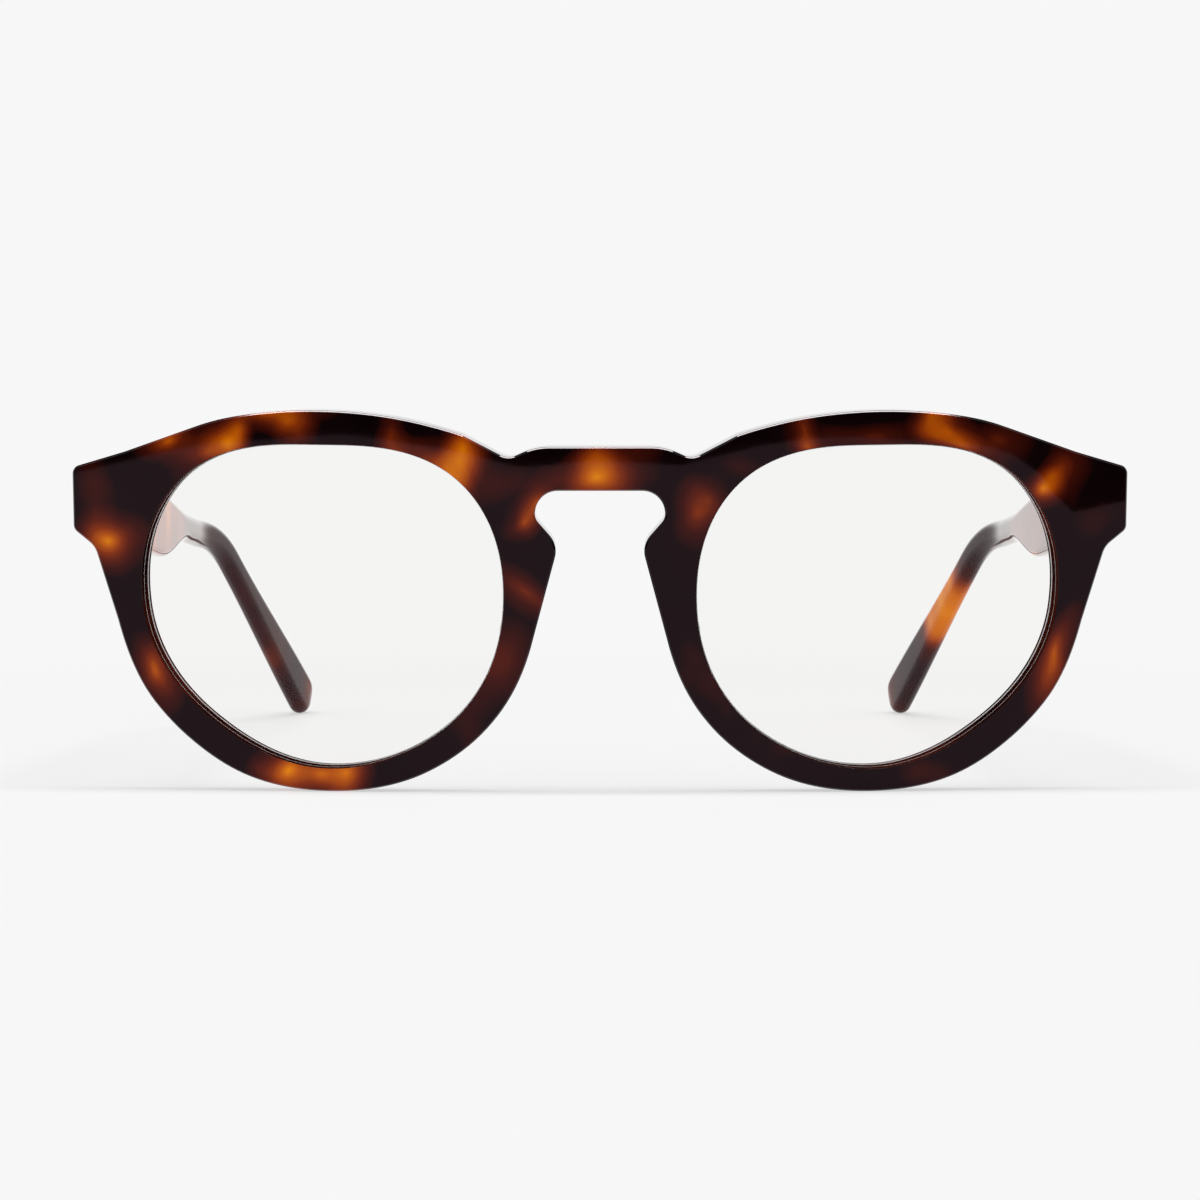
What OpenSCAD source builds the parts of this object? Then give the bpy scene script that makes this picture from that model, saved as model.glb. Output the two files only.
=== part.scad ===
// Round keyhole-bridge eyeglasses standing on a table, front towards -Y, +X to the wearer's left.
// A flat acetate sheet outline is wrapped to a shallow curve and leaned forward at the brow.

/* [Lenses] */
// Width of a lens between its vertical tangents, its bevel included
lens_w = 50; // [46:0.5:53]
// Height of a lens, its bevel included
lens_h = 44.4; // [40:0.2:47]
// Least distance between the two lenses across the nose
bridge_w = 24.2; // [20:0.2:28]
// Radius of the opening at each eighth of a turn against an ellipse, from the temple side over the top
opening_shape = [0.986, 1.104, 1.008, 1.092, 0.994, 1.003, 0.997, 0.929];
// Depth of the groove round the opening that holds the lens
groove_d = 0.55; // [0.4:0.05:0.8]
// Width of the groove across the sheet
groove_w = 1.1; // [0.8:0.05:1.4]
// Distance of the groove's near side from the front face
groove_in = 1.3; // [1:0.05:1.8]
// Thickness of the lens between its faces
lens_t = 2; // [1.6:0.1:2.2]
// Gap between a lens and the frame that grips it
lens_gap = 0.05; // [0.02:0.01:0.1]

/* [Front] */
// Reach of the front past the lens at each end, along the flat sheet
end_reach = 8.65; // [7.5:0.05:10]
// Thickness of the acetate sheet
front_t = 4; // [3.6:0.1:5]
// Radius of the shallow curve that the front is wrapped to
wrap_r = 450; // [300:10:700]
// Angle that the temples slope down from a line square to the front
panto = 10; // [8:0.1:12]
// Width of the rim at each twelfth of a turn from the temple side over the top
rim_w = [4.1, 8, 4.7, 4.5, 4.5, 7, 4.7, 4, 3.6, 3.1, 4.05, 4.1];
// Height of the end of the front that the temple meets
end_h = 8.3; // [7:0.1:10]
// Height of the top corner of the end above the lens centre
end_rise = 18.5; // [17:0.1:20]
// Corner radius at the top of the end
end_r = 1.2; // [0.8:0.1:2]

/* [Bridge] */
// Height of the bridge bar over the nose
bar_h = 5.8; // [4.5:0.1:7]
// Height of the bar's top edge above the lens centre
bar_rise = 21.6; // [19:0.1:22.5]
// Width of the bar's top between its rounded shoulders
bar_w = 17.2; // [12:0.2:20]
// Width of the keyhole under the bar at its widest
keyhole_w = 17.3; // [15:0.1:19]
// Width of the keyhole at its narrowest, between the tips of the nose sides
pinch_w = 11; // [9:0.1:13]
// Depth of the narrowest place below the bar
pinch_drop = 7.2; // [6:0.1:10]

/* [Nose pads] */
// Length of a glued nose pad along the nose
pad_l = 13.5; // [10:0.5:16]
// Drop of a pad's middle below the keyhole's narrowest place
pad_drop = 8.2; // [7:0.1:9]
// Width of a pad at its foot on the frame
pad_w = 3.9; // [3:0.1:5]
// Reach of a pad behind the front
pad_d = 5.5; // [3:0.25:7]
// Sideways flare of a pad's rear edge towards the lens
pad_flare = 1.8; // [1:0.1:3]
// Lean of a pad along the side of the nose, in degrees
pad_lean = 16; // [8:1:24]

/* [Temples] */
// Length of a temple's centre line from the front to the tip
temple_l = 150; // [140:1:156]
// Distance of a temple's centre line from the end of the front, at the joint
temple_in = 2.75; // [2.5:0.05:4]
// Thickness of a temple at the joint
temple_t = 4.2; // [3.6:0.1:5]
// Thickness of a temple at the tip
tip_t = 3.3; // [2.8:0.1:4]
// Height of the tall head above its centre line
head_up = 3.2; // [2.5:0.1:4.5]
// Height of the tall head below its centre line
head_down = 6.2; // [4.5:0.1:7]
// Length of the tall head before its lower edge sweeps up
head_l = 44; // [34:1:52]
// Length of the sweep from the head to the slim arm
neck_l = 25; // [20:1:42]
// Height of the slim arm
arm_h = 4.4; // [4:0.1:7]
// Angle that the straight arm leans inwards from the joint
toe_in = 1.7; // [0:0.1:3]
// Distance from the front to the bend over the ear
ear_at = 85; // [80:1:100]
// Radius of the bend over the ear
ear_r = 30; // [20:1:45]
// Angle that the bend turns down
ear_turn = 27; // [18:0.2:32]
// Distance from the front to where the arm turns inwards
inward_at = 78; // [70:1:100]
// Radius of the inward turn
inward_r = 42; // [30:1:90]
// Angle of the inward turn
inward_turn = 10.5; // [4:0.5:16]
// Height of the paddle at the tip
tip_h = 7.4; // [7:0.1:9]
// Length over which the arm widens into the paddle
paddle_l = 50; // [35:1:55]
// Rounding of a temple's long edges at its head
temple_edge = 1; // [0.5:0.05:1.4]
// Rounding of a temple's long edges behind the ear
tip_edge = 1.6; // [1:0.05:1.6]

/* [Hinges] */
// Radius of a hinge knuckle
knuckle_r = 1.45; // [1.2:0.05:1.6]
// Height of one knuckle
knuckle_h = 1.3; // [1:0.05:1.5]
// Gap between two knuckles along the screw
knuckle_gap = 0.06; // [0.04:0.01:0.1]
// Radius of the screw's shaft
screw_r = 0.7; // [0.5:0.05:0.8]
// Clearance between the shaft and the turning knuckles
screw_gap = 0.05; // [0.03:0.01:0.1]
// Radius of the screw's head
screw_head_r = 1.2; // [1:0.05:1.4]
// Height of the screw's head
screw_head_h = 0.7; // [0.5:0.05:0.9]
// Distance of the screw behind the back of the front
pin_back = 2.3; // [2:0.05:3]
// Distance of the screw from the inner face of the temple
pin_in = 1.75; // [1.65:0.05:2.2]
// Thickness of a hinge plate
plate_t = 1; // [0.8:0.05:1.2]
// Depth that a hinge plate is sunk into the acetate
plate_sink = 0.75; // [0.5:0.05:0.9]
// Length of the plate on the temple
temple_plate_l = 9; // [7:0.5:12]
// Width of the plate on the front
front_plate_w = 5.4; // [5.4:0.1:6.4]
// Radius of a plate's anchor foot
foot_r = 0.75; // [0.5:0.05:0.9]
// Length of an anchor foot in the acetate
foot_l = 1.2; // [0.8:0.1:1.4]
// Gap between the end of a temple and the back of the front
butt_gap = 0.25; // [0.2:0.05:0.4]

/* [Core wires] */
// Radius of the wire inside a temple
wire_r = 0.7; // [0.5:0.05:0.8]
// Distance of the wire's front end from the front
wire_start = 14; // [12:1:20]
// Distance of the wire's rear end from the tip of the temple
wire_stop = 9; // [7:1:14]

/* [Hidden] */
$fn = 48;

shell_fn = 720;
far = 40;
over = 0.5;
// Gap round a piece that is cemented in a recess
glue_gap = 0.02;
opening_w = lens_w - 2 * groove_d;
opening_h = lens_h - 2 * groove_d;
lens_x = (bridge_w + lens_w) / 2;
end_x = lens_x + lens_w / 2 + end_reach;
temple_x = end_x - temple_in;
lens_z = rim_w[9] + opening_h / 2;
tilt = asin(lens_x / wrap_r);

// Smooth closed curve through values at equal steps of a turn
function wrapped(list, i) = list[(i + len(list)) % len(list)];
function cubic(a, b, c, d, t) =
    b + 0.5 * t * (c - a + t * (2 * a - 5 * b + 4 * c - d + t * (3 * (b - c) + d - a)));
function round_value(list, angle) =
    let (turn = ((angle + 720) % 360) * len(list) / 360, i = floor(turn))
    cubic(wrapped(list, i - 1), wrapped(list, i), wrapped(list, i + 1), wrapped(list, i + 2), turn - i);
function ellipse_r(w, h, angle) = 1 / norm([2 * cos(angle) / w, 2 * sin(angle) / h]);
function opening_r(angle) = ellipse_r(opening_w, opening_h, angle) * round_value(opening_shape, angle);
function polar(angle, r) = [lens_x + r * cos(angle), lens_z + r * sin(angle)];

// Closed outline of a lens opening, grown outwards by extra
opening_n = 144;
function opening(extra) = [for (i = [0:opening_n - 1])
    let (angle = 360 * i / opening_n) polar(angle, opening_r(angle) + extra)];
function rim_point(angle) = polar(angle, opening_r(angle) + round_value(rim_w, angle));
function rim_run(from, to, count) =
    [for (i = [0:count]) let (p = rim_point(from + (to - from) * i / count)) [p[0], p[1], 0]];

// Polygon whose corners [x, y, radius] are rounded by arcs
function unit(v) = v / norm(v);
function corner(a, p, b, r) = let (
    u = unit(a - p), w = unit(b - p), half = acos(u * w) / 2,
    middle = p + unit(u + w) * r / sin(half), from = p + u * r / tan(half) - middle,
    to = p + w * r / tan(half) - middle, steps = 8, span = acos(from * to / r / r))
    [for (i = [0:steps]) let (t = i / steps)
        middle + (from * sin(span * (1 - t)) + to * sin(span * t)) / sin(span)];
function flat(v) = [v[0], v[1]];
function rounded(points) = [for (i = [0:len(points) - 1]) let (p = points[i],
    a = flat(wrapped(points, i - 1)), b = flat(wrapped(points, i + 1)))
    each p[2] == 0 ? [flat(p)] : corner(a, flat(p), b, p[2])];

bar_z = lens_z + bar_rise;
under_z = bar_z - bar_h;
end_z = lens_z + end_rise;
// The rim follows the opening over these turns; the bar, the end and the keyhole join them
brow_from = 129;
brow_to = 66;
// The brow runs out at this turn, on a wide arc
brow_end = 60;
brow_end_r = 30;
side_from = -4;
side_to = -172;
// Shoulder beside the bar: way out, way down and radius
shoulder = [3.5, 1.6, 2.4];
shoulder_top_r = 9;
// Dip of the line from the brow to the end: way in, way up and radius
dip = [7.2, 2.15, 15];
// Heel under the end: way in, way down and radius
heel = [2.9, 2.3, 3];
heel_top_r = 1.2;
pinch_r = 3.2;
keyhole_side_r = 1.8;
keyhole_top_r = 3;
keyhole_top_in = 0.4;
past_middle = 1;

// Left half of the front on the flat sheet, a little past the middle
half_outline = rounded(concat(
    [[-past_middle, bar_z, 0], [bar_w / 2, bar_z, shoulder_top_r],
        [bar_w / 2 + shoulder[0], bar_z - shoulder[1], shoulder[2]]],
    rim_run(brow_from, brow_to, 22),
    [[rim_point(brow_end)[0], rim_point(brow_end)[1], brow_end_r],
        [end_x - dip[0], end_z + dip[1], dip[2]], [end_x, end_z, end_r], [end_x, end_z - end_h, heel_top_r],
        [end_x - heel[0], end_z - end_h - heel[1], heel[2]]],
    rim_run(side_from, side_to, 44),
    [[pinch_w / 2, under_z - pinch_drop, pinch_r], [keyhole_w / 2, under_z - pinch_drop / 2, keyhole_side_r],
        [keyhole_w / 2 - keyhole_top_in, under_z, keyhole_top_r], [-past_middle, under_z, 0]]));

// The sheet's back face at a distance u along it, seen from the tilted half
function sag(u) = wrap_r * cos(tilt) - sqrt(pow(wrap_r, 2) - pow(u - lens_x, 2));
function slant(u) = asin((u - lens_x) / wrap_r);
// A place on the tilted half sheet, seen from the upright front
function from_half(p) = [p[0] * cos(tilt) - p[1] * sin(tilt), p[0] * sin(tilt) + p[1] * cos(tilt), p[2]];
function wrap_sag(x) = wrap_r - sqrt(pow(wrap_r, 2) - pow(x, 2));

// Centre line of a temple: a straight arm that turns down over the ear and inwards
steps = 76;
fine = 4 * steps;
function clamp(v, lo, hi) = min(hi, max(lo, v));
function arm_down(s) = panto + clamp((s - ear_at) / ear_r * 180 / PI, 0, ear_turn);
function arm_in(s) = toe_in + clamp((s - inward_at) / inward_r * 180 / PI, 0, inward_turn);
function heading(s) = let (down = arm_down(s), in = arm_in(s))
    [-cos(down) * sin(in), cos(down) * cos(in), -sin(down)];
head_drop = 0.2;
temple_u = temple_x / cos(tilt);
arm_start = [temple_x, from_half([temple_u, sag(temple_u) + front_t, 0])[1], end_z - head_up - head_drop];
step_l = temple_l / fine;
centre_line = [for (i = 0, p = arm_start; i <= fine;
    p = p + step_l * heading((i + 0.5) * step_l), i = i + 1) p];
function centre_at(s) = let (t = s / step_l, i = clamp(floor(t), 0, fine - 1))
    centre_line[i] + (centre_line[i + 1] - centre_line[i]) * (t - i);

// The glasses stand on the rims and the temple tips: the lean at which a line under the rims,
// where the sheet has bent back by rim_back, just touches the round of the tip
rim_back = wrap_sag(lens_x);
tip_middle = centre_at(temple_l - tip_h / 2) - [0, rim_back, 0];
lean = asin(tip_h / 2 / norm([tip_middle[1], tip_middle[2]])) - atan2(tip_middle[2], tip_middle[1]);
drop_z = -rim_back * sin(lean);
brow_y = -(lens_z + opening_h / 2 + rim_w[3]) * sin(lean) + rim_back * cos(lean);
tip_y = (tip_middle[1] + rim_back) * cos(lean) - tip_middle[2] * sin(lean) + tip_h / 2;
middle_y = (brow_y + tip_y) / 2;

// Height above and below the centre line, thickness, and how far the end is rounded off
function eased(t) = let (c = clamp(t, 0, 1)) c * c * (3 - 2 * c);
function blend(a, b, t) = a + (b - a) * eased(t);
function paddle(s) = (tip_h - arm_h) / 2 * eased((s - temple_l + paddle_l) / paddle_l);
function above(s) = blend(head_up, arm_h / 2, (s - head_l) / neck_l) + paddle(s);
function below(s) = blend(head_down, arm_h / 2, (s - head_l) / neck_l) + paddle(s);
function thick(s) = blend(temple_t, tip_t, s / ear_at);
function end_round(s) = sqrt(max(0, 1 - pow(clamp((s - temple_l + tip_h / 2) / (tip_h / 2), 0, 1), 2)));

// One ring of a temple: a rounded rectangle across its centre line at s, never thinner than a core
ring_n = 24;
core = 0.02;
function ring_point(k, w, up, down, r) = let (
    side_n = ring_n / 4, q = floor(k / side_n), a = 90 * (q + (k % side_n) / (side_n - 1)),
    cx = (q == 0 || q == 3 ? 1 : -1) * max(core, w / 2 - r),
    cz = q < 2 ? max(core / 2, up - r) : -max(core / 2, down - r))
    [cx + min(r, w / 2) * cos(a), cz + r * sin(a)];
// The thickness that the rounded tip keeps, and the share of its height that its edges may round
tip_keep = 0.55;
edge_share = 0.49;
function ring(s) = let (
    c = centre_at(s), b = arm_in(s),
    across = [cos(b), sin(b), 0], upright = cross(across, heading(s)),
    h = end_round(s), w = thick(s) * (tip_keep + (1 - tip_keep) * h),
    edge = blend(temple_edge, tip_edge, (s - head_l) / neck_l),
    r = min(edge, (above(s) + below(s)) * h * edge_share))
    [for (k = [0:ring_n - 1]) let (p = ring_point(k, w, above(s) * h, below(s) * h, r))
        c + across * p[0] + upright * p[1]];
// Rings lie closer in the bend and at the tip, and the last one stops just before it
lead = -3;
crowding = 1.35;
tip_stop = 0.9995;
function ring_s(i) = lead + (temple_l - lead) * (1 - pow(1 - i / steps, crowding)) * tip_stop;
function tube_faces(rings, n) = concat(
    [[for (k = [n - 1:-1:0]) k]],
    [for (i = [0:rings - 2], k = [0:n - 1]) each [
        [i * n + k, i * n + (k + 1) % n, (i + 1) * n + (k + 1) % n],
        [i * n + k, (i + 1) * n + (k + 1) % n, (i + 1) * n + k]]],
    [[for (k = [0:n - 1]) (rings - 1) * n + k]]);

// From the upright front's own frame to the table
module standing() {
    translate([0, -middle_y, drop_z]) rotate([lean, 0, 0]) children();
}
module side(s) {
    if (s > 0) children();
    else mirror([1, 0, 0]) children();
}
// Frame of the tilted left half of the flat sheet
module half_sheet() {
    rotate([0, 0, tilt]) children();
}
// Frame on the back of the sheet at a place u, v of the half: z points out of the back
module on_back(u, v) {
    half_sheet() translate([u, sag(u) + front_t, v]) rotate([0, 0, slant(u)])
        rotate([-90, 0, 0]) children();
}
// Frame at the middle of the hinge's screw: z along it, y along the temple, x outwards
pin_x = temple_x - temple_t / 2 - pin_in;
pin_u = (pin_x + front_t * sin(tilt)) / cos(tilt);
hinge_drop = 0.2;
hinge_v = end_z - end_h / 2 - hinge_drop;
pin_at = [pin_x, from_half([pin_u, sag(pin_u) + front_t, 0])[1] + pin_back, hinge_v];
module at_pin(turn = 0) {
    translate(pin_at) rotate([-panto, 0, 0]) rotate([0, 0, turn]) children();
}

// Slice of the wrapped sheet between two depths from its front face
module wrapped_slice(from, to) {
    translate([0, wrap_r, -over]) difference() {
        cylinder(r = wrap_r - from, h = lens_z + far, $fn = shell_fn);
        translate([0, 0, -over]) cylinder(r = wrap_r - to, h = lens_z + far + 2 * over, $fn = shell_fn);
    }
}
module upright_plate(points) {
    half_sheet() rotate([90, 0, 0]) linear_extrude(height = far, center = true) polygon(points);
}
module left_side_only() {
    translate([0, -far, -far]) cube([3 * far, 3 * far, 4 * far]);
}
module half_front() {
    intersection() {
        wrapped_slice(0, front_t);
        upright_plate(half_outline);
        left_side_only();
    }
}
module lens_seat() {
    upright_plate(opening(0));
    intersection() {
        wrapped_slice(groove_in, groove_in + groove_w);
        upright_plate(opening(groove_d));
    }
}

// The hinge: a plate in each half, sunk by plate_sink in a recess that opens past the surface by mouth
barrel_h = 5 * knuckle_h + 4 * knuckle_gap;
plate_in = 1;
plate_u = pin_u - plate_in;
plate_end = 0.6;
mouth = 1;
foot_apart = 0.64 * barrel_h;
foot_root = 0.2;
knuckle_room = 0.7;
plate_start = knuckle_r + knuckle_room;
function plate_h(grow) = plate_t + grow + (grow > 0 ? mouth : 0);
module front_plate(grow) {
    on_back(plate_u, hinge_v) translate([0, 0, -plate_sink - grow]) {
        translate([-front_plate_w / 2 - grow, -barrel_h / 2 - plate_end - grow, 0])
            cube([front_plate_w + 2 * grow, barrel_h + 2 * (plate_end + grow), plate_h(grow)]);
        for (y = [-1, 1])
            translate([-front_plate_w / 6, y * foot_apart / 2, -foot_l])
                cylinder(r = foot_r + grow, h = foot_l + foot_root);
    }
}
module temple_plate(grow) {
    at_pin(toe_in) translate([pin_in + plate_sink + grow, 0, 0]) rotate([0, -90, 0]) {
        translate([-barrel_h / 2 + plate_end / 2 - grow, plate_start - grow, 0])
            cube([barrel_h - plate_end + 2 * grow, temple_plate_l + 2 * grow, plate_h(grow)]);
        for (y = [plate_start + foot_r + plate_end, temple_plate_l])
            translate([0, y, -foot_l]) cylinder(r = foot_r + grow, h = foot_l + foot_root);
    }
}
// A knuckle's web [corner, size] runs into its plate by knuckle_root
knuckle_root = 0.05;
screw_fit = 0.02;
screw_tail = 0.3;
slot_w = 0.3;
module knuckle(i, reach, bore) {
    z = -barrel_h / 2 + i * (knuckle_h + knuckle_gap);
    translate([0, 0, z]) difference() {
        union() {
            cylinder(r = knuckle_r, h = knuckle_h);
            translate([reach[0][0], reach[0][1], 0]) cube([reach[1][0], reach[1][1], knuckle_h]);
        }
        translate([0, 0, -over]) cylinder(r = bore, h = knuckle_h + 2 * over);
    }
}

module front(){
    color("#3a1408") standing() difference() {
        union() {
            half_front();
            mirror([1, 0, 0]) half_front();
        }
        for (s = [1, -1]) side(s) {
            lens_seat();
            front_plate(glue_gap);
        }
    }
}

// A pad's foot starts inside the sheet, which cuts it back to its curve; its rear edge is rounder and shorter
pad_inset = 2.35;
pad_root = 1;
pad_foot_h = 0.5;
pad_sag = 0.4;
pad_rear_d = 0.7 * pad_w;
pad_rear_share = 0.75;
pad_fn = 20;
pad_foot_u = pinch_w / 2 + pad_w / 2 + pad_inset;
pad_v = under_z - pinch_drop - pad_drop;
module nose_pad(s) {
    color("#4a1c0c") standing() side(s) difference() {
        hull() {
            for (e = [-1, 1]) {
                on_back(pad_foot_u, pad_v) rotate([0, 0, -pad_lean])
                    translate([0, e * (pad_l - pad_w) / 2, -pad_root])
                    cylinder(d = pad_w, h = pad_root + pad_foot_h, $fn = pad_fn);
                on_back(pad_foot_u + pad_flare, pad_v - pad_sag) rotate([0, 0, -pad_lean])
                    translate([0, e * (pad_l - pad_w) / 2 * pad_rear_share, pad_d - pad_rear_d / 2])
                    sphere(d = pad_rear_d, $fn = pad_fn);
            }
        }
        wrapped_slice(-front_t, front_t);
    }
}

module lens(s) {
    color("#dfe9ec", 0.4) standing() side(s) {
        intersection() {
            wrapped_slice(groove_in + groove_w / 2 - lens_t / 2, groove_in + groove_w / 2 + lens_t / 2);
            upright_plate(opening(-lens_gap));
        }
        intersection() {
            wrapped_slice(groove_in + lens_gap, groove_in + groove_w - lens_gap);
            upright_plate(opening(groove_d - lens_gap));
        }
    }
}

module front_hinge(s) {
    color("#b9bcc0") standing() side(s) {
        front_plate(0);
        intersection() {
            at_pin() for (i = [0, 2, 4])
                knuckle(i, [[-knuckle_r, -pin_back - plate_t], [2 * knuckle_r, pin_back + plate_t]],
                    screw_r + screw_fit);
            on_back(plate_u, hinge_v) translate([-far / 2, -far / 2, -knuckle_root]) cube(far);
        }
    }
}

module temple_hinge(s) {
    color("#b9bcc0") standing() side(s) {
        temple_plate(0);
        at_pin(toe_in) for (i = [1, 3])
            knuckle(i, [[0, 0], [pin_in - knuckle_root, plate_start + plate_end]], screw_r + screw_gap);
    }
}

module hinge_screw(s) {
    color("#d0d2d5") standing() side(s) at_pin() difference() {
        union() {
            translate([0, 0, -barrel_h / 2 - screw_tail]) cylinder(r = screw_r, h = barrel_h + screw_tail);
            translate([0, 0, barrel_h / 2]) cylinder(r = screw_head_r, h = screw_head_h);
        }
        translate([-far / 2, -slot_w / 2, barrel_h / 2 + screw_head_h / 2]) cube([far, slot_w, far]);
    }
}

// Depth that the temple's inner face is cut back beside the knuckles
relief = 0.15;
module temple_loft() {
    polyhedron(
        points = [for (i = [0:steps]) each ring(ring_s(i))],
        faces = tube_faces(steps + 1, ring_n));
}
wire_steps = 40;
wire_n = 8;
function wire_ring(s) = let (b = arm_in(s), across = [cos(b), sin(b), 0], upright = cross(across, heading(s)))
    [for (k = [0:wire_n - 1]) let (a = k * 360 / wire_n)
        centre_at(s) + wire_r * (across * cos(a) + upright * sin(a))];
module core_wire_path() {
    polyhedron(
        points = [for (i = [0:wire_steps])
            each wire_ring(wire_start + (temple_l - wire_stop - wire_start) * i / wire_steps)],
        faces = tube_faces(wire_steps + 1, wire_n));
}
module temple(s) {
    color("#36130a") standing() side(s) difference() {
        temple_loft();
        on_back(temple_u, end_z - end_h / 2) translate([-far / 2, -far / 2, butt_gap - far]) cube(far);
        temple_plate(glue_gap);
        at_pin(toe_in) translate([-far / 2 + pin_in + relief, -far / 2 + plate_start, -barrel_h / 2 - mouth])
            cube([far / 2, far / 2, barrel_h + 3 * mouth]);
        core_wire_path();
    }
}
module core_wire(s) {
    color("#8f9296") standing() side(s) core_wire_path();
}

front();
nose_pad(1);  // nose_pad_left
nose_pad(-1);  // nose_pad_right
lens(1);  // lens_left
lens(-1);  // lens_right
front_hinge(1);  // front_hinge_left
front_hinge(-1);  // front_hinge_right
temple_hinge(1);  // temple_hinge_left
temple_hinge(-1);  // temple_hinge_right
hinge_screw(1);  // hinge_screw_left
hinge_screw(-1);  // hinge_screw_right
temple(1);  // temple_left
temple(-1);  // temple_right
core_wire(1);  // core_wire_left
core_wire(-1);  // core_wire_right
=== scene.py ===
from math import asin, atan, atan2, cos, degrees, hypot, pi, radians, sin, sqrt, tan

import bpy
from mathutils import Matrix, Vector


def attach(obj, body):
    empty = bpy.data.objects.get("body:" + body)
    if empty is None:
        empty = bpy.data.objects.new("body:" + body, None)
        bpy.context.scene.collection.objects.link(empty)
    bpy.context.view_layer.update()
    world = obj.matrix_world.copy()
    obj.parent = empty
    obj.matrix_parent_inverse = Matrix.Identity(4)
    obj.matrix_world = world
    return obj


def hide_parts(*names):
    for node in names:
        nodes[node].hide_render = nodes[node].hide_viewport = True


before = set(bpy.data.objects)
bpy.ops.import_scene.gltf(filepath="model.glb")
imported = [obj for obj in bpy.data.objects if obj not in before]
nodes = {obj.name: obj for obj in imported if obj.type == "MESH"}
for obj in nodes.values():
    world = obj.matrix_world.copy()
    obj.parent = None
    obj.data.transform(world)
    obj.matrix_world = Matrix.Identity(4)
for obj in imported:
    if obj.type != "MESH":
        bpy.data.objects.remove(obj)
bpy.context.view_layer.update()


# ---- The front -------------------------------------------------------------
# One sheet of cast acetate, milled to both rims and the keyhole bridge, wrapped
# to a shallow curve and tumbled until its edges are soft and polished. Its
# tortoiseshell runs through the sheet: near black, amber clouds, deep red between.

# millimetres and degrees; a turn runs round an opening from its outer side over the top
lens_w = 50
lens_h = 44.4
bridge_w = 24.2
groove_d = 0.55
opening_w = lens_w - 2 * groove_d
opening_h = lens_h - 2 * groove_d
# the opening against an oval, every 45 degrees
opening_shape = [0.986, 1.104, 1.008, 1.092, 0.994, 1.003, 0.997, 0.929]
# the width of the rim, every 30 degrees
rim_w = [4.1, 8, 4.7, 4.5, 4.5, 7, 4.7, 4, 3.6, 3.1, 4.05, 4.1]
rim_below = rim_w[9]
lens_x = (bridge_w + lens_w) / 2
lens_z = rim_below + opening_h / 2
# the turns between which the outline runs along the rim, over the brow and below
brow_from = 129
brow_to = 66
brow_end = 60
below_from = -4
below_to = -172
# the end piece, with the place where it leaves the brow and its foot on the rim
end_reach = 8.65
end_h = 8.3
end_rise = 18.5
end_top_w = 7.2
end_top_h = 2.15
end_foot_w = 2.9
end_foot_h = 2.3
end_x = lens_x + lens_w / 2 + end_reach
end_z = lens_z + end_rise
# the bar of the bridge, with the slope from its end to the brow, and the keyhole under it
bar_h = 5.8
bar_rise = 21.6
bar_w = 17.2
slope_w = 3.5
slope_h = 1.6
bar_z = lens_z + bar_rise
under_z = bar_z - bar_h
keyhole_w = 17.3
keyhole_in = 0.4
pinch_w = 11
pinch_drop = 7.2
# the sheet, its curve, its lean, and its middle's place on the table
front_t = 4
wrap_r = 450
tilt = asin(lens_x / wrap_r)
rim_back = wrap_r - sqrt(wrap_r**2 - lens_x**2)
lean = radians(5.11738)
middle_y = 71.5325
# the rounding of the edges, and the narrow facet that the file leaves on the outer one
edge_r = 0.18
edge_flat = 0.17
opening_edge = 0.07
# upright cuts start and end here, and places closer than this are one
cut_reach = 70
same_place = 0.0001


def round_value(values, turn):
    """A smooth value at a turn, from values at even turns all the way round."""
    count = len(values)
    step = (turn % 360) * count / 360
    i = int(step)
    t = step - i
    a, b, c, d = (values[(i + k) % count] for k in (-1, 0, 1, 2))
    return b + 0.5 * t * (c - a + t * (2 * a - 5 * b + 4 * c - d + t * (3 * (b - c) + d - a)))


def opening_r(turn):
    a = radians(turn)
    return round_value(opening_shape, turn) / hypot(2 * cos(a) / opening_w, 2 * sin(a) / opening_h)


def polar(turn, r):
    return Vector((lens_x + r * cos(radians(turn)), lens_z + r * sin(radians(turn))))


def rim_run(start, end, count):
    """The rim's outer line between two turns."""
    turns = [start + (end - start) * i / count for i in range(count + 1)]
    return [polar(turn, opening_r(turn) + round_value(rim_w, turn)) for turn in turns]


def corner(before, place, after, r, steps=10):
    """The arc that rounds the corner at a place, between the places before and after."""
    u, w = (before - place).normalized(), (after - place).normalized()
    half = u.angle(w) / 2
    middle = place + (u + w).normalized() * r / sin(half)
    start = place + u * r / tan(half) - middle
    end = place + w * r / tan(half) - middle
    span = start.angle(end)
    arc = []
    for i in range(steps + 1):
        t = i / steps
        arc.append(middle + (start * sin(span * (1 - t)) + end * sin(span * t)) / sin(span))
    return arc


def rounded(points):
    """The line through these places, each with the radius that rounds its corner."""
    shape = []
    for i, (place, r) in enumerate(points):
        before, after = points[i - 1][0], points[(i + 1) % len(points)][0]
        shape += [place] if r == 0 else corner(before, place, after, r)
    return shape


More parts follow.
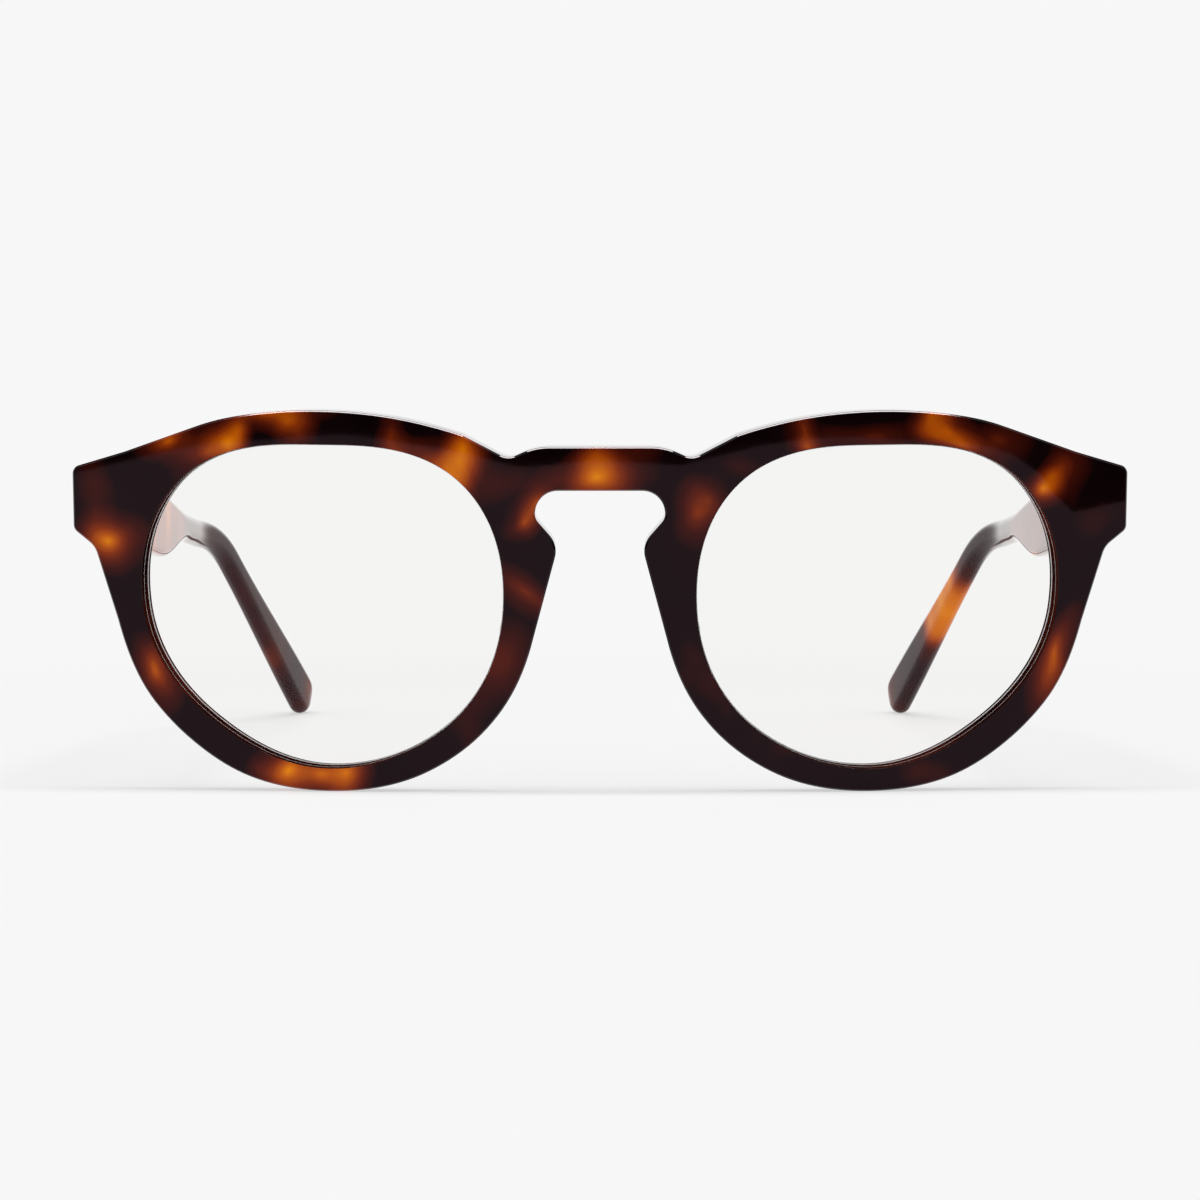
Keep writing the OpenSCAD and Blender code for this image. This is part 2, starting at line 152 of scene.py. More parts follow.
# each place on the wearer's left half of the outline, with the radius of its corner
half_outline = rounded(
    [
        (Vector((0, bar_z)), 0),
        (Vector((bar_w / 2, bar_z)), 9),
        (Vector((bar_w / 2 + slope_w, bar_z - slope_h)), 2.4),
        *((place, 0) for place in rim_run(brow_from, brow_to, 24)),
        (rim_run(brow_end, brow_end, 1)[0], 30),
        (Vector((end_x - end_top_w, end_z + end_top_h)), 15),
        (Vector((end_x, end_z)), 1.2),
        (Vector((end_x, end_z - end_h)), 1.2),
        (Vector((end_x - end_foot_w, end_z - end_h - end_foot_h)), 3),
        *((place, 0) for place in rim_run(below_from, below_to, 72)),
        (Vector((pinch_w / 2, under_z - pinch_drop)), 3.2),
        (Vector((keyhole_w / 2, under_z - pinch_drop / 2)), 1.8),
        (Vector((keyhole_w / 2 - keyhole_in, under_z)), 3),
        (Vector((0, under_z)), 0),
    ]
)
outline = half_outline + [Vector((-p.x, p.y)) for p in reversed(half_outline[1:-1])]
opening_turns = [i * 2 for i in range(180)]
opening = [polar(turn, opening_r(turn)) for turn in opening_turns]


def alone(*pieces):
    """Leaves only these pieces selected, in object mode, the first of them active."""
    if bpy.context.object and bpy.context.object.mode == "EDIT":
        bpy.ops.object.mode_set(mode="OBJECT")
    bpy.ops.object.select_all(action="DESELECT")
    for piece in pieces:
        piece.select_set(True)
    if pieces:
        bpy.context.view_layer.objects.active = pieces[0]


def parallel(points, inward):
    """A closed line moved in by a distance, where in is on its right along the way."""
    moved = []
    for before, place, after in zip(points[-1:] + points[:-1], points, points[1:] + points[:1]):
        u, w = (place - before).normalized(), (after - place).normalized()
        square = Vector((u.y + w.y, -u.x - w.x)).normalized()
        moved.append(place + square * inward / square.dot(Vector((u.y, -u.x))))
    return moved


def strip_along(points, lines):
    """A closed strip along a line of the sheet: how far in and how deep each of its edges runs."""
    alone()
    count = len(points)
    bpy.ops.mesh.primitive_grid_add(x_subdivisions=count, y_subdivisions=len(lines) - 1, size=1)
    strip = bpy.context.object
    rows = [parallel(points, line[0]) for line in lines]
    for i, vertex in enumerate(strip.data.vertices):
        row, place = divmod(i, count + 1)
        u, v = rows[row][place % count]
        vertex.co = (u, lines[row][1], v)
    return strip


def plate(name, strips):
    """The flat blank between the strips along its borders, closed by its two broad faces."""
    alone(*strips)
    if len(strips) > 1:
        bpy.ops.object.join()
    blank = bpy.context.object
    blank.name = name
    blank.data.name = name
    bpy.ops.object.mode_set(mode="EDIT")
    bpy.ops.mesh.select_all(action="SELECT")
    bpy.ops.mesh.remove_doubles(threshold=same_place)
    for pick in (min, max):
        bpy.ops.object.mode_set(mode="OBJECT")
        mesh = blank.data
        deep = pick(vertex.co.y for vertex in mesh.vertices)
        for group in (mesh.vertices, mesh.edges, mesh.polygons):
            group.foreach_set("select", [False] * len(group))
        for edge in mesh.edges:
            edge.select = all(
                abs(mesh.vertices[i].co.y - deep) < same_place for i in edge.vertices
            )
        bpy.ops.object.mode_set(mode="EDIT")
        bpy.ops.mesh.select_mode(type="EDGE")
        bpy.ops.mesh.fill(use_beauty=True)
    bpy.ops.mesh.select_all(action="SELECT")
    bpy.ops.mesh.normals_make_consistent(inside=False)
    return blank


def bent(place):
    """From the flat sheet (across, deep, up) to the wrapped, leaning front in metres."""
    side = -1 if place.x < 0 else 1
    u = abs(place.x)
    sag = wrap_r * cos(tilt) - sqrt(wrap_r**2 - (u - lens_x) ** 2)
    square = asin((u - lens_x) / wrap_r) + tilt
    x = u * cos(tilt) - sag * sin(tilt) - place.y * sin(square)
    y = u * sin(tilt) + sag * cos(tilt) + place.y * cos(square)
    up = place.z
    return (
        Vector(
            (
                side * x,
                y * cos(lean) - up * sin(lean) - middle_y,
                y * sin(lean) + up * cos(lean) - rim_back * sin(lean),
            )
        )
        / 1000
    )


def wrap(blank, first, last, step=2):
    """Cuts a blank into upright strips, bends it to the front's curve, shades its faces true."""
    bpy.ops.object.mode_set(mode="EDIT")
    for i in range(int((last - first) / step) + 1):
        bpy.ops.mesh.select_all(action="SELECT")
        bpy.ops.mesh.bisect(plane_co=(first + i * step, 0, 0), plane_no=(1, 0, 0))
    bpy.ops.object.mode_set(mode="OBJECT")
    mesh = blank.data
    near, far = (pick(vertex.co.y for vertex in mesh.vertices) for pick in (min, max))
    true = {}
    for vertex in mesh.vertices:
        square = bent(vertex.co + Vector((0, 1, 0))) - bent(vertex.co)
        if vertex.co.y - near < same_place:
            true[vertex.index] = -square.normalized()
        if far - vertex.co.y < same_place:
            true[vertex.index] = square.normalized()
        vertex.co = bent(vertex.co)
    alone(blank)
    bpy.ops.object.shade_smooth_by_angle(angle=radians(30))
    mesh.normals_split_custom_set([true.get(loop.vertex_index, (0, 0, 0)) for loop in mesh.loops])


def milled_edge(r, flat, steps, turn=48, even=0.03, hold=0.1):
    """How far in and how deep an edge's lines run, front to back: rounded, with a narrow facet."""
    place = Vector((0, 0))
    lines = [place]
    for start, end in ((0, turn), (turn, 90)):
        for i in range(steps):
            a, b = (radians(start + (end - start) * k / steps) for k in (i, i + 1))
            place = place + r * Vector((sin(a) - sin(b), cos(a) - cos(b)))
            lines.append(place)
        if flat and end == turn:
            along = Vector((-cos(radians(turn)), sin(radians(turn))))
            lines += [place + along * even, place + along * (flat - even), place + along * flat]
            place = lines[-1]
    lines = [(line.x - place.x, line.y) for line in lines] + [(0, place.y + hold)]
    return lines + [(inward, front_t - deep) for inward, deep in reversed(lines)]


soft_edge = milled_edge(edge_r, edge_flat, steps=3)
crisp_edge = milled_edge(opening_edge, flat=0, steps=2)
sheet = plate(
    "acetate_front",
    [
        strip_along(outline, soft_edge),
        strip_along(opening, crisp_edge),
        strip_along([Vector((-u, v)) for u, v in reversed(opening)], crisp_edge),
    ],
)
wrap(sheet, -cut_reach, cut_reach)
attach(sheet, "front")
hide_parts("front")


class Value:
    """A socket inside a finish, so that sums on it add the Math nodes."""

    def __init__(self, finish, socket):
        self.finish = finish
        self.socket = socket

    def maths(self, operation, first, second):
        return self.finish.node("ShaderNodeMath", {"operation": operation}, {0: first, 1: second})

    def __add__(self, other):
        return self.maths("ADD", self, other)

    def __radd__(self, other):
        return self.maths("ADD", other, self)

    def __sub__(self, other):
        return self.maths("SUBTRACT", self, other)

    def __rsub__(self, other):
        return self.maths("SUBTRACT", other, self)

    def __mul__(self, other):
        return self.maths("MULTIPLY", self, other)

    def __rmul__(self, other):
        return self.maths("MULTIPLY", other, self)


class Finish:
    """A material or a world that is built node by node."""

    def __init__(self, name, holder=None):
        self.holder = holder or bpy.data.materials.new(name)
        self.holder.use_nodes = True
        self.tree = self.holder.node_tree
        self.tree.nodes.clear()

    def node(self, kind, settings, values, out=0):
        """Adds one node, with its settings and the values or links of its sockets."""
        made = self.tree.nodes.new(kind)
        for key, setting in settings.items():
            if key == "stops":
                ramp = made.color_ramp
                while len(ramp.elements) < len(setting):
                    ramp.elements.new(1)
                for stop, (at, colour) in zip(ramp.elements, setting):
                    stop.position = at
                    stop.color = (*colour, 1)
            else:
                setattr(made, key, setting)
        for key, value in values.items():
            if isinstance(value, Value):
                self.tree.links.new(value.socket, made.inputs[key])
            else:
                made.inputs[key].default_value = value
        return Value(self, made.outputs[out])

    def surface(self, shader, end="ShaderNodeOutputMaterial"):
        self.tree.links.new(shader.socket, self.tree.nodes.new(end).inputs["Surface"])
        return self.holder


def ranged(value, low, high, start, end, kind="LINEAR"):
    """What runs from start to end while a value runs from low to high."""
    return value.finish.node(
        "ShaderNodeMapRange",
        {"interpolation_type": kind},
        {"Value": value, "From Min": low, "From Max": high, "To Min": start, "To Max": end},
    )


def eased(value, low, high, start=0.0, end=1.0):
    """The same, slow at both ends."""
    return ranged(value, low, high, start, end, "SMOOTHSTEP")


def tortoiseshell(name, clouds, along, dark, shine, gloss_from, gloss_to):
    """Acetate with amber clouds: place along and up, half width and height, turn, strength."""
    finish = Finish(name)
    place = finish.node("ShaderNodeTexCoord", {}, {}, "Object")
    # the clouds are drawn out by a swirl of the poured acetate
    swirl_reach = 0.0026
    swirl = finish.node(
        "ShaderNodeTexNoise",
        {},
        {"Vector": place, "Scale": 130.0, "Detail": 1.0, "Roughness": 0.4},
        "Color",
    )
    shift = finish.node(
        "ShaderNodeVectorMath", {"operation": "SUBTRACT"}, {0: swirl, 1: (0.5, 0.5, 0.5)}
    )
    drawn = finish.node(
        "ShaderNodeVectorMath",
        {"operation": "MULTIPLY_ADD"},
        {0: shift, 1: (swirl_reach, swirl_reach, swirl_reach), 2: place},
    )
    # a faint deep red between them
    deep = finish.node(
        "ShaderNodeTexNoise",
        {},
        {"Vector": place, "Scale": 70.0, "Detail": 1.5, "Roughness": 0.45},
        "Fac",
    )
    amber = eased(deep, 0.40, 0.75, end=0.40)
    # each cloud thins out evenly, to nothing at three times its half width and height
    cloud_fade = 3.0
    for across, up, wide, high, turn, strength in clouds:
        if along == "X":
            settings = {
                "Location": (across / 1000, 0, up / 1000),
                "Rotation": (0, -radians(turn), 0),
                "Scale": (wide / 1000, 1, high / 1000),
            }
        else:
            settings = {
                "Location": (0, across / 1000, up / 1000),
                "Rotation": (radians(turn), 0, 0),
                "Scale": (1, wide / 1000, high / 1000),
            }
        inside = finish.node(
            "ShaderNodeMapping", {"vector_type": "TEXTURE"}, {"Vector": drawn, **settings}
        )
        away = finish.node("ShaderNodeVectorMath", {"operation": "LENGTH"}, {0: inside}, "Value")
        amber = amber + (1 - amber) * ranged(away, 0.0, cloud_fade, strength, 0.0)
    less_dark = tuple(1.6 * part for part in dark)
    colour = finish.node(
        "ShaderNodeValToRGB",
        {
            "stops": [
                (0.0, dark),
                (0.22, less_dark),
                (0.46, (0.055, 0.0055, 0.0020)),
                (0.60, (0.130, 0.014, 0.0025)),
                (0.72, (0.280, 0.036, 0.0025)),
                (0.84, (0.550, 0.100, 0.0020)),
                (0.93, (0.800, 0.200, 0.0020)),
                (1.0, (1.0, 0.330, 0.0020)),
            ]
        },
        {"Fac": amber},
        "Color",
    )
    # the tumbled polish, with its faint waves, and the full gloss where the surface turns away
    smear = finish.node(
        "ShaderNodeTexNoise", {}, {"Vector": place, "Scale": 900.0, "Detail": 2.0}, "Fac"
    )
    polish = ranged(smear, 0.0, 1.0, 0.012, 0.045)
    waves = finish.node(
        "ShaderNodeTexNoise", {}, {"Vector": place, "Scale": 90.0, "Detail": 0.0}, "Fac"
    )
    tumbled = finish.node(
        "ShaderNodeBump", {}, {"Strength": 0.03, "Distance": 0.0006, "Height": waves}, "Normal"
    )
    aslant = finish.node("ShaderNodeLayerWeight", {}, {"Blend": 0.5}, "Facing")
    gloss = eased(aslant, gloss_from, gloss_to)
    return finish.surface(
        finish.node(
            "ShaderNodeBsdfPrincipled",
            {},
            {
                "Base Color": colour,
                "Roughness": polish,
                "IOR": 1.49,
                "Specular IOR Level": shine,
                "Specular Tint": (1.0, 0.66, 0.78, 1),
                "Coat Weight": gloss,
                "Coat IOR": 1.5,
                "Normal": tumbled,
            },
        )
    )


front_clouds = [
    # the wearer's right end and brow
    (-65.4, 33.3, 2.1, 1.9, 0, 0.98),
    (-67.4, 37.6, 1.2, 3.2, 0, 0.34),
    (-57.0, 47.2, 2.6, 1.4, 15, 0.86),
    (-49.2, 46.2, 1.4, 1.1, 20, 0.92),
    (-48.0, 47.8, 0.8, 1.4, 0, 0.60),
    (-51.8, 45.2, 2.8, 1.0, 25, 0.66),
    (-44.0, 50.6, 3.6, 1.1, 5, 0.84),
    (-41.1, 49.4, 1.3, 1.3, 0, 0.66),
    (-40.0, 47.6, 1.2, 1.1, 0, 0.42),
    (-27.5, 47.8, 0.9, 2.8, 0, 0.54),
    (-26.8, 45.6, 2.0, 0.9, -20, 0.38),
    (-17.9, 45.2, 1.2, 2.2, 0, 0.80),
    (-18.2, 43.8, 1.5, 1.2, 0, 0.76),
    (-19.9, 42.3, 1.6, 0.9, -30, 0.82),
    (-22.6, 43.9, 2.4, 1.2, -32, 0.40),
    (-12.6, 41.9, 4.5, 1.8, -20, 0.34),
    # the wearer's right of the nose
    (-8.5, 38.8, 1.0, 2.0, -20, 0.66),
    (-10.4, 36.0, 1.2, 1.8, -45, 0.72),
    (-9.9, 27.0, 3.2, 1.1, -28, 0.62),
    (-11.5, 21.5, 2.8, 4.0, -15, 0.22),
    (-17.0, 12.0, 2.2, 4.5, -40, 0.34),
    # the right rim, down and round
    (-59.7, 16.0, 1.2, 2.2, 25, 0.84),
    (-46.0, 3.6, 1.4, 1.1, -22, 0.34),
    (-42.0, 2.7, 2.0, 1.9, 0, 1.0),
    (-37.2, 2.4, 2.4, 1.6, 0, 0.84),
    (-33.8, 2.6, 1.6, 2.0, 0, 0.88),
    # the middle of the bridge
    (-0.6, 41.8, 2.3, 1.5, 0, 1.0),
    (-0.4, 44.6, 1.2, 1.3, 0, 0.34),
    (5.3, 42.4, 4.0, 1.8, 0, 0.26),
    # the wearer's left of the nose
    (12.6, 37.3, 1.5, 1.9, -25, 0.62),
    (13.9, 39.4, 1.6, 1.5, -20, 0.46),
    (18.5, 43.8, 2.2, 1.5, -30, 0.36),
    (12.4, 18.3, 1.5, 2.6, 20, 0.28),
    # the wearer's left brow and end
    (27.0, 48.4, 0.7, 2.2, 0, 0.50),
    (27.2, 45.9, 1.0, 0.7, 0, 0.56),
    (36.4, 47.6, 2.6, 1.0, 0, 0.42),
    (43.9, 49.9, 1.2, 1.4, -15, 0.66),
    (46.4, 47.9, 1.8, 1.2, -35, 0.70),
    (47.6, 46.2, 2.6, 0.8, -20, 0.72),
    (52.8, 46.9, 2.2, 1.4, -8, 0.58),
    (58.8, 40.8, 1.4, 1.1, 0, 0.94),
    (60.4, 42.4, 1.0, 1.1, -30, 0.48),
    (61.6, 42.8, 1.6, 2.2, -20, 0.42),
    # the left rim, down
    (61.0, 18.4, 1.1, 3.2, -20, 0.82),
    (17.0, 11.0, 1.6, 2.4, 20, 0.26),
    (43.6, 2.1, 2.6, 1.4, 0, 0.28),
]
front_dark = (0.0030, 0.0006, 0.0008)
front_acetate = tortoiseshell(
    "front_acetate", front_clouds, "X", front_dark, shine=0.18, gloss_from=0.08, gloss_to=0.25
)

# the walls of the openings stay as the cutter leaves them, dull, dark red in places
milled = Finish("milled_acetate")
on_wall = milled.node("ShaderNodeTexCoord", {}, {}, "Object")
cuts = milled.node("ShaderNodeTexNoise", {}, {"Vector": on_wall, "Scale": 60.0}, "Fac")
wall_red = ranged(cuts, 0.35, 0.65, 0.0, 1.0)
mix_first, mix_second, mix_result = 6, 7, 2
wall_colour = milled.node(
    "ShaderNodeMix",
    {"data_type": "RGBA"},
    {0: wall_red, mix_first: (0.008, 0.0015, 0.0015, 1), mix_second: (0.09, 0.011, 0.005, 1)},
    mix_result,
)
milled.surface(
    milled.node(
        "ShaderNodeBsdfPrincipled",
        {},
        {"Base Color": wall_colour, "Roughness": 0.7, "Specular IOR Level": 0.0},
    )
)
wall_zone = 1.5
wall_slope = 0.5
sheet.data.materials.append(front_acetate)
sheet.data.materials.append(milled.holder)
for face in sheet.data.polygons:
    out = Vector((abs(face.center.x) * 1000 - lens_x, face.center.z * 1000 - lens_z))
    at_opening = out.length < opening_r(degrees(atan2(out.y, out.x))) + wall_zone
    face.material_index = 1 if at_opening and abs(face.normal.y) < wall_slope else 0

# ---- The nose pads ---------------------------------------------------------
# Two small ridges of the same acetate, cut apart, cemented behind the rims beside
# the nose and tumbled with the front, so that they swell softly out of its back.
pad_l = 13.5
pad_w = 3.9
pad_flare = 1.8
pad_sink = 0.4
pad_lean = radians(16)
pad_in = 2.35
pad_drop = 8.2
pad_u = pinch_w / 2 + pad_w / 2 + pad_in
pad_v = under_z - pinch_drop - pad_drop
# how deep each ring lies behind the sheet, and its share of the width, length and flare
pad_rings = [
    (-0.5, 1.00, 1.00, 0.0),
    (0.3, 1.00, 1.00, 0.02),
    (1.6, 0.94, 0.96, 0.2),
    (3.0, 0.86, 0.91, 0.5),
    (4.0, 0.78, 0.86, 0.76),
    (4.7, 0.66, 0.80, 0.92),
    (5.2, 0.46, 0.72, 1.0),
    (5.45, 0.22, 0.62, 1.0),
]
pad_count = 40
# places closer than this are one, on meshes that are in metres
merged = 0.000001


def pad_ring(wide, long):
    """A long ring with round ends."""
    r = wide / 2
    ring = []
    for i in range(pad_count):
        a = 2 * pi * i / pad_count
        half = long / 2 - r
        ring.append(Vector((r * cos(a), r * sin(a) + (half if sin(a) > 0 else -half))))
    return ring


def smoothed(piece, angle=30):
    """Rounds a piece's shading over soft edges and keeps its broad faces true."""
    alone(piece)
    bpy.ops.object.shade_smooth_by_angle(angle=radians(angle))
    weigh = piece.modifiers.new("true faces", "WEIGHTED_NORMAL")
    weigh.keep_sharp = True
    bpy.ops.object.modifier_apply(modifier=weigh.name)


for side, sign in (("left", 1), ("right", -1)):
    alone()
    bpy.ops.mesh.primitive_grid_add(
        x_subdivisions=pad_count, y_subdivisions=len(pad_rings) - 1, size=1
    )
    pad = bpy.context.object
    pad.name = "acetate_pad_" + side
    pad.data.name = pad.name
    for i, vertex in enumerate(pad.data.vertices):
        deep, width, length, flare = pad_rings[i // (pad_count + 1)]
        long = pad_l - pad_w * (1 - width) * 0.5 - pad_l * (1 - length)
        across, up = pad_ring(pad_w * width, long)[i % (pad_count + 1) % pad_count]
        u = pad_u + across * cos(pad_lean) - up * sin(pad_lean) + pad_flare * flare
        v = pad_v + across * sin(pad_lean) + up * cos(pad_lean) - pad_sink * flare
        vertex.co = bent(Vector((sign * u, front_t + deep, v)))
    bpy.ops.object.mode_set(mode="EDIT")
    bpy.ops.mesh.select_all(action="SELECT")
    bpy.ops.mesh.remove_doubles(threshold=merged)
    bpy.ops.mesh.select_all(action="DESELECT")
    bpy.ops.mesh.select_mode(type="EDGE")
    bpy.ops.mesh.select_non_manifold()
    bpy.ops.mesh.fill_holes(sides=0)
    bpy.ops.mesh.select_all(action="SELECT")
    bpy.ops.mesh.normals_make_consistent(inside=False)
    smoothed(pad, angle=50)
    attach(pad, "front")
    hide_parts("nose_pad_" + side)
    pad.data.materials.append(front_acetate)

# ---- The lenses ------------------------------------------------------------
# Clear, coated lenses, ground round their edge to a bevel that snaps into the
# groove of the rim. Where the ground edge meets the wall it shows as a white line: partly
# frosted glass, partly a painted highlight, opaque white for the light its bevel catches.
lens_t = 2
lens_deep = 0.85
lens_gap = 0.02
lens_reach = 26
ground_w = 0.11

# the two faces, then the bevel inside the groove, then the ground corners between them,
# opaque white as frosted glass and as a painted highlight
clear = Finish("clear_lens")
through = clear.node("ShaderNodeBsdfTransparent", {}, {"Color": (0.985, 0.984, 0.980, 1)})
coat = clear.node("ShaderNodeBsdfGlossy", {}, {"Color": (1, 1, 1, 1), "Roughness": 0.02})
slant = clear.node("ShaderNodeLayerWeight", {}, {"Blend": 0.5}, "Facing")
mirrored_ahead = 0.002
mirrored_aslant = 0.8
mirrored = mirrored_ahead + mirrored_aslant * (slant * slant * slant * slant * slant)
clear.surface(clear.node("ShaderNodeMixShader", {}, {0: mirrored, 1: through, 2: coat}))
inner = Finish("lens_in_the_groove")
in_groove = inner.node("ShaderNodeTexCoord", {}, {}, "Object")
haze = inner.node("ShaderNodeTexNoise", {}, {"Vector": in_groove, "Scale": 400.0}, "Fac")
dim = inner.node("ShaderNodeBsdfTransparent", {}, {"Color": (0.86, 0.85, 0.84, 1)})
bare = inner.node("ShaderNodeBsdfTransparent", {}, {"Color": (0.98, 0.98, 0.98, 1)})
inner.surface(inner.node("ShaderNodeMixShader", {}, {0: haze, 1: dim, 2: bare}))
# painted highlight: the ground corners are opaque near-white, standing in for the light their
# bevel catches as well as for frosted glass
ground_and_highlight = Finish("ground_edge_painted_highlight")
ground_and_highlight.surface(
    ground_and_highlight.node(
        "ShaderNodeBsdfPrincipled", {}, {"Base Color": (0.9, 0.9, 0.9, 1), "Roughness": 0.35}
    )
)
clear_slope = 0.9
ground_slope = 0.4
for side, sign in (("left", 1), ("right", -1)):
    edge = [polar(turn, opening_r(turn) - lens_gap) for turn in opening_turns]
    edge = [Vector((-u, v)) for u, v in edge] if side == "right" else edge[::-1]
    back = lens_deep + lens_t
    lines = [
        (ground_w, lens_deep),
        (0, lens_deep + ground_w),
        (0, back - ground_w),
        (ground_w, back),
    ]
    lens = plate("clear_lens_" + side, [strip_along(edge, lines)])
    wrap(lens, sign * lens_x - lens_reach, sign * lens_x + lens_reach)
    for finish in (clear, ground_and_highlight, inner):
        lens.data.materials.append(finish.holder)
    for face in lens.data.polygons:
        slope = abs(face.normal.y)
        face.material_index = 0 if slope > clear_slope else 1 if slope > ground_slope else 2
    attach(lens, "front")
    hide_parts("lens_" + side)

# ---- The hinges ------------------------------------------------------------
# Five-knuckle barrel hinges of nickel silver, their plates sunk and cemented in
# the acetate, each turning on one slotted screw from above. A metal wire runs
# inside each temple from behind the hinge to the tip.
broken_edge = 0.00006
metal = Finish("nickel_silver")
on_metal = metal.node("ShaderNodeTexCoord", {}, {}, "Object")
grain = metal.node(
    "ShaderNodeTexNoise", {}, {"Vector": on_metal, "Scale": 2600.0, "Detail": 3.0}, "Fac"
)
brushed = ranged(grain, 0.0, 1.0, 0.2, 0.42)
metal.surface(
    metal.node(
        "ShaderNodeBsdfPrincipled",
        {},
        {"Base Color": (0.62, 0.60, 0.57, 1), "Metallic": 1.0, "Roughness": brushed},
    )
)


def finished_copy(node, name, bevel):
    """A copy of a CAD piece, merged, with its sharp edges broken where a bevel is asked for."""
    piece = nodes[node].copy()
    piece.data = nodes[node].data.copy()
    piece.name = name
    piece.data.name = name
    piece.data.materials.clear()
    bpy.context.scene.collection.objects.link(piece)
    alone(piece)
    bpy.ops.object.mode_set(mode="EDIT")
    bpy.ops.mesh.select_all(action="SELECT")
    bpy.ops.mesh.remove_doubles(threshold=merged)
    if bevel:
        bpy.ops.mesh.dissolve_limited(angle_limit=radians(0.5))
    bpy.ops.object.mode_set(mode="OBJECT")
    if bevel:
        broken = piece.modifiers.new("broken edges", "BEVEL")
        broken.width = bevel
        broken.segments = 2
        broken.limit_method = "ANGLE"
        broken.angle_limit = radians(40)
        broken.use_clamp_overlap = True
        bpy.ops.object.modifier_apply(modifier=broken.name)
    smoothed(piece)
    return piece


for side in ("left", "right"):
    for kind, body in (
        ("front_hinge_", "front"),
        ("temple_hinge_", "temple_" + side),
        ("hinge_screw_", "front"),
    ):
        piece = finished_copy(kind + side, "metal_" + kind + side, broken_edge)
        piece.data.materials.append(metal.holder)
        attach(piece, body)
        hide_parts(kind + side)
        "screw_metal" if "screw" in kind else "hinge_metal"
    wire = nodes["core_wire_" + side]
    wire.data.materials.clear()
    wire.data.materials.append(metal.holder)

# ---- The temples -----------------------------------------------------------
# Acetate bars sawn from the same sheet, tall at the hinge, drawn slim, bent over
# the ear and left as a paddle. Their edges are hand-filed rounder towards the tip.
left_clouds_and_sheen = [
    (-63, 36.5, 2.6, 2.4, -15, 0.94),
    (-52, 41.5, 3.6, 1.8, 10, 0.86),
    (-43, 34.0, 2.4, 2.0, -20, 0.90),
    # partly the acetate's own red and partly painted sheen: these two wide clouds, the same on
    # both temples, warm the acetate by the hinge where its grazing gloss looks pink
    (-28, 36, 10, 8, 0, 0.64),
    (-8, 35, 10, 6, 0, 0.62),
    (38, 25, 3.8, 5, 0, 0.98),
    (43, 21.5, 3.8, 5, 0, 0.98),
    (48, 18, 3.6, 5, 0, 0.94),
    (74, 3, 3, 3, 0, 0.7),
]
right_clouds_and_sheen = [
    (-62, 41.5, 3.4, 1.8, 15, 0.88),
    (-54, 35.5, 2.6, 2.2, -20, 0.94),
    (-43, 38.5, 2.4, 2.4, 20, 0.84),
    (-33, 33.5, 1.6, 2.4, 0, 0.80),
    (-20, 35.8, 1.3, 2.2, 0, 0.86),
    (-20.5, 39.0, 1.2, 2.0, 0, 0.66),
    # partly the acetate's own red and partly painted sheen: these two wide clouds, the same on
    # both temples, warm the acetate by the hinge where its grazing gloss looks pink
    (-28, 36, 10, 8, 0, 0.64),
    (-8, 35, 10, 6, 0, 0.62),
    (12, 33, 8, 5, 0, 0.36),
    (38, 24, 5, 5, 0, 0.34),
    (54, 13, 4, 5, 0, 0.42),
    (72, 4, 3, 3, 0, 0.5),
]
temple_dark = (0.0190, 0.0026, 0.0040)
for side, clouds in (("left", left_clouds_and_sheen), ("right", right_clouds_and_sheen)):
    temple = finished_copy("temple_" + side, "acetate_temple_" + side, bevel=0)
    temple.data.materials.append(
        tortoiseshell(
            side + "_temple_acetate",
            clouds,
            "Y",
            temple_dark,
            shine=0.095,
            gloss_from=0.70,
            gloss_to=0.87,
        )
    )
    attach(temple, "temple_" + side)
    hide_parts("temple_" + side)

# ---- The table, the light and the camera -----------------------------------
# A white table under a long overhead lamp, with a bright room behind and high in
# front. Its shaped front edge shows only as the dark brow line reflected in the front.
backdrop = 0.932
edge_start = [(0, -0.332)]
edge_middle = [
    (0.03, -0.329),
    (0.046, -0.341),
    (0.063, -0.354),
    (0.084, -0.361),
    (0.106, -0.364),
]
edge_right = [
    (0.126, -0.36),
    (0.144, -0.351),
    (0.162, -0.341),
    (0.174, -0.328),
    (0.19, -0.305),
    (0.22, -0.28),
]
edge_left = [
    (0.121, -0.359),
    (0.137, -0.353),
    (0.153, -0.343),
    (0.159, -0.331),
    (0.16, -0.304),
    (0.156, -0.284),
    (0.154, -0.262),
    (0.161, -0.264),
    (0.178, -0.271),
    (0.22, -0.28),
]
far_end = [(4, -0.28), (4, 4)]
table_edge = edge_start + edge_middle + edge_left + far_end
table_edge += [(-u, v) for u, v in reversed(edge_middle + edge_right + far_end)]
alone()
bpy.ops.mesh.primitive_circle_add(vertices=len(table_edge), radius=1, fill_type="NOTHING")
table = bpy.context.object
table.name = "table"
for vertex, place in zip(table.data.vertices, table_edge):
    vertex.co = (*place, 0)
bpy.ops.object.mode_set(mode="EDIT")
bpy.ops.mesh.select_all(action="SELECT")
bpy.ops.mesh.fill()
bpy.ops.mesh.normals_make_consistent(inside=False)
bpy.ops.object.mode_set(mode="OBJECT")
plain = Finish("white_table")
where = plain.node("ShaderNodeTexCoord", {}, {}, "Object")
away = plain.node("ShaderNodeVectorMath", {"operation": "LENGTH"}, {0: where}, "Value")
fade = eased(away, 0.14, 0.3, start=0.6)
near = plain.node(
    "ShaderNodeBsdfPrincipled",
    {},
    {"Base Color": (0.93, 0.93, 0.93, 1), "Roughness": 0.6, "Specular IOR Level": 0.0},
)
